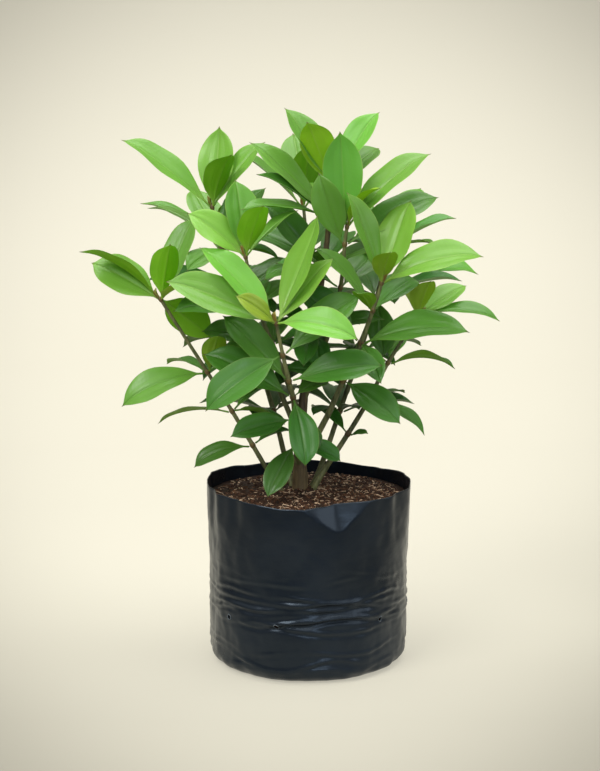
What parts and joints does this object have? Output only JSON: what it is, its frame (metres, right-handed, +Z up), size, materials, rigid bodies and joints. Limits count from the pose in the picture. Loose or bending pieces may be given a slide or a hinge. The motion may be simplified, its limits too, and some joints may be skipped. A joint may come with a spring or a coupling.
{
  "type": "potted medinilla plant",
  "caption": "Young leafy medinilla shrub with many branching stems, planted in a round black polythene nursery bag of potting mix.",
  "frame": {"origin": "middle of the bag's flat base, where it stands on the ground", "axes": "+Z up, along the bag's axis; -Y is the plant's front; +X to the right of someone facing its front"},
  "size_m": [0.4269, 0.293, 0.5683],
  "materials": {
    "bag_film": "soft satin black polythene",
    "potting_mix": "moist brown mix with pale coir and bark chips",
    "bark": "dull brown bark",
    "green_stem": "olive-brown young wood",
    "leaf": "glossy dark green, paler beneath",
    "young_leaf": "glossy light green, yellow-green beneath"
  },
  "bodies": {
    "root": {"grow_bag": "bag_film", "potting_mix": "potting_mix", "trunk_and_roots": "bark", "stem_front": "green_stem", "stem_left": "green_stem", "stem_left_top": "green_stem", "stem_centre_left": "green_stem", "stem_centre_right": "green_stem", "stem_right": "green_stem", "stem_far_right": "green_stem", "stem_back_left": "green_stem", "stem_back": "green_stem", "stem_back_right": "green_stem", "leaves_top_1": "leaf", "leaves_top_2": "leaf", "leaves_top_3": "leaf", "leaves_top_4": "young_leaf", "leaves_front_1": "leaf", "leaves_front_2": "leaf", "leaves_front_3": "leaf", "leaves_front_4": "leaf", "leaves_front_5": "leaf", "leaves_front_6": "young_leaf", "leaves_left_1": "leaf", "leaves_left_2": "leaf", "leaves_left_3": "leaf", "leaves_left_4": "young_leaf", "leaves_left_top_1": "leaf", "leaves_left_top_2": "leaf", "leaves_left_top_3": "young_leaf", "leaves_centre_left_1": "leaf", "leaves_centre_left_2": "leaf", "leaves_centre_left_3": "young_leaf", "leaves_centre_right_1": "leaf", "leaves_centre_right_2": "leaf", "leaves_centre_right_3": "young_leaf", "leaves_right_1": "leaf", "leaves_right_2": "leaf", "leaves_right_3": "leaf", "leaves_right_4": "young_leaf", "leaves_far_right_1": "leaf", "leaves_far_right_2": "leaf", "leaves_far_right_3": "leaf", "leaves_far_right_4": "young_leaf", "leaves_back_left_1": "leaf", "leaves_back_left_2": "leaf", "leaves_back_left_3": "leaf", "leaves_back_left_4": "young_leaf", "leaves_back_1": "leaf", "leaves_back_2": "leaf", "leaves_back_3": "leaf", "leaves_back_4": "young_leaf", "leaves_back_right_1": "leaf", "leaves_back_right_2": "leaf", "leaves_back_right_3": "leaf", "leaves_back_right_4": "young_leaf"}
  },
  "joints": []
}
